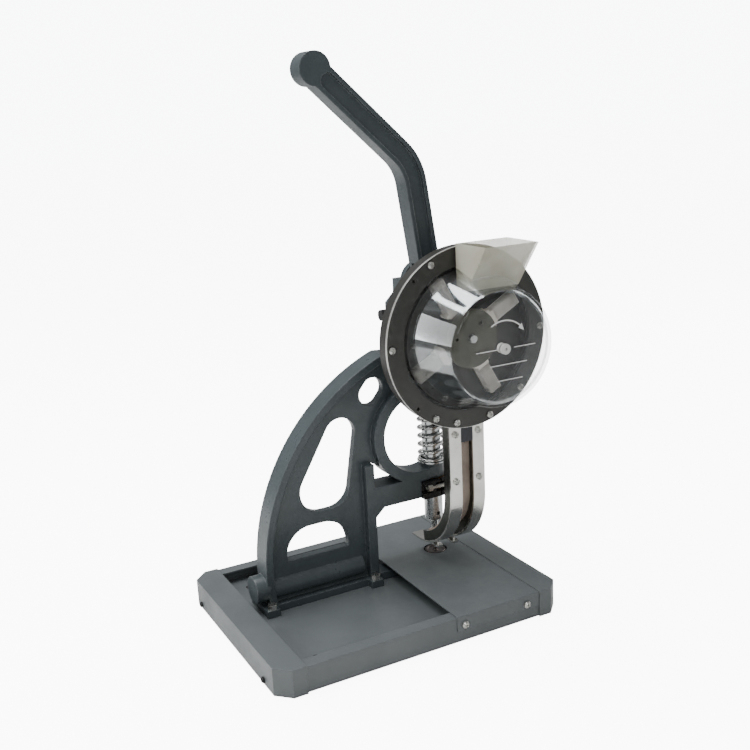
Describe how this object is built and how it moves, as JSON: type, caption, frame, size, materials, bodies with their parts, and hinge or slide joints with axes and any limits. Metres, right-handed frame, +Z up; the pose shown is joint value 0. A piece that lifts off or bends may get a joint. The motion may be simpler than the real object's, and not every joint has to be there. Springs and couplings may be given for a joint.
{
  "type": "hand-lever eyelet press",
  "caption": "Bench hand-lever eyelet setting press with a brush-fed drum, clear dome, hopper, curved gravity chute, sprung ram and a die in a tray base.",
  "frame": {"origin": "centre of the four bench bolt holes, at the level that the rubber feet stand on", "axes": "+Z up, +X along the base from the tray toward the die, +Y across the base away from the drum"},
  "size_m": [0.4008, 0.2788, 0.644],
  "materials": {
    "base_paint": "satin",
    "cast_paint": "satin",
    "drum_paint": "satin",
    "hub_metal": "satin",
    "black_steel": "satin",
    "zinc_steel": "satin",
    "ground_steel": "polished",
    "spring_chrome": "polished",
    "bronze": "satin",
    "strip_steel": "satin",
    "chute_board": "matte",
    "gate_plastic": "satin",
    "clear_plastic": "polished",
    "milky_plastic": "satin",
    "knob_plastic": "satin",
    "holder_plastic": "satin",
    "bristle": "matte",
    "foot_rubber": "matte"
  },
  "bodies": {
    "base": {"floor_pan": "base_paint", "left_rail": "base_paint", "right_rail": "base_paint", "rear_cap": "base_paint", "front_cap": "base_paint", "cover_plate": "base_paint", "cover_screws": "zinc_steel", "cap_screws": "zinc_steel", "rubber_feet": "foot_rubber", "frame_casting": "cast_paint", "foot_bolts": "zinc_steel", "lower_guide": "black_steel", "guide_bolts": "black_steel", "clamp_bolt": "zinc_steel", "lower_bush": "bronze", "upper_bush": "bronze", "pivot_bushes": "bronze", "stop_screw": "zinc_steel", "lock_bolt": "black_steel", "lower_die": "ground_steel", "die_screw": "black_steel", "return_spring": "spring_chrome", "spring_seat": "ground_steel", "drum_bracket": "cast_paint", "bracket_bolts": "black_steel", "drum_body": "drum_paint", "front_ring": "drum_paint", "ring_screws": "zinc_steel", "shaft_bush": "bronze", "dome_cover": "clear_plastic", "dome_knob": "knob_plastic", "hopper": "milky_plastic", "left_strip": "strip_steel", "right_strip": "strip_steel", "chute_bars": "strip_steel", "chute_back": "chute_board", "chute_gate": "gate_plastic", "chute_screws": "zinc_steel"},
    "lever": {"lever": "cast_paint", "cam": "ground_steel", "cam_pins": "zinc_steel", "pivot_shaft": "ground_steel", "shaft_nut": "zinc_steel", "crank": "ground_steel", "link_pins": "zinc_steel"},
    "ram": {"ram": "ground_steel", "spring_collar": "ground_steel", "punch": "ground_steel", "punch_screw": "black_steel", "roller_pin": "zinc_steel"},
    "roller": {"cam_roller": "ground_steel"},
    "link": {"feed_link": "ground_steel"},
    "feed_arm": {"feed_arm": "ground_steel"},
    "brushes": {"brush_shaft": "ground_steel", "brush_hub": "hub_metal", "hub_plate": "hub_metal", "brush_holders": "holder_plastic", "bristles": "bristle"},
    "left_jaw": {"left_jaw": "strip_steel"},
    "right_jaw": {"right_jaw": "strip_steel"}
  },
  "joints": [
    {"name": "lever_swing", "type": "hinge", "parent": "base", "child": "lever", "pos_m": [0.113, 0.033, 0.378], "axis": [0, 1, 0], "range_deg": [0, 73]},
    {"name": "ram_slide", "type": "slide", "parent": "base", "child": "ram", "axis": [0, 0, -1], "range_m": [0, 0.0255], "stiffness_N_per_m": 13000, "springref_m": -0.003, "deforming": ["return_spring"]},
    {"name": "roller_spin", "type": "hinge", "parent": "ram", "child": "roller", "pos_m": [0.11, 0.033, 0.351], "axis": [0, 1, 0], "continuous": true},
    {"name": "link_pivot", "type": "hinge", "parent": "lever", "child": "link", "pos_m": [0.12977, -0.0008, 0.38889], "axis": [0, 1, 0], "range_deg": [-73, 0]},
    {"name": "feed_arm_swing", "type": "hinge", "parent": "base", "child": "feed_arm", "pos_m": [0.112, -0.0081, 0.325], "axis": [0, 1, 0], "range_deg": [0, 73]},
    {"name": "brush_turn", "type": "hinge", "parent": "base", "child": "brushes", "pos_m": [0.112, -0.045, 0.325], "axis": [0, 1, 0], "continuous": true},
    {"name": "left_jaw_open", "type": "hinge", "parent": "base", "child": "left_jaw", "pos_m": [0.0985, 0.006, 0.0512], "axis": [0, 0, 1], "range_deg": [0, 16]},
    {"name": "right_jaw_open", "type": "hinge", "parent": "base", "child": "right_jaw", "pos_m": [0.1215, 0.006, 0.0512], "axis": [0, 0, -1], "range_deg": [0, 16]}
  ],
  "couplings": [
    {"joint": "ram_slide", "follows": "lever_swing", "m_per_rad": 0.020014},
    {"joint": "link_pivot", "follows": "lever_swing", "ratio": -1},
    {"joint": "feed_arm_swing", "follows": "lever_swing", "ratio": 1},
    {"joint": "left_jaw_open", "follows": "lever_swing", "ratio": 0.21918},
    {"joint": "right_jaw_open", "follows": "lever_swing", "ratio": 0.21918}
  ]
}
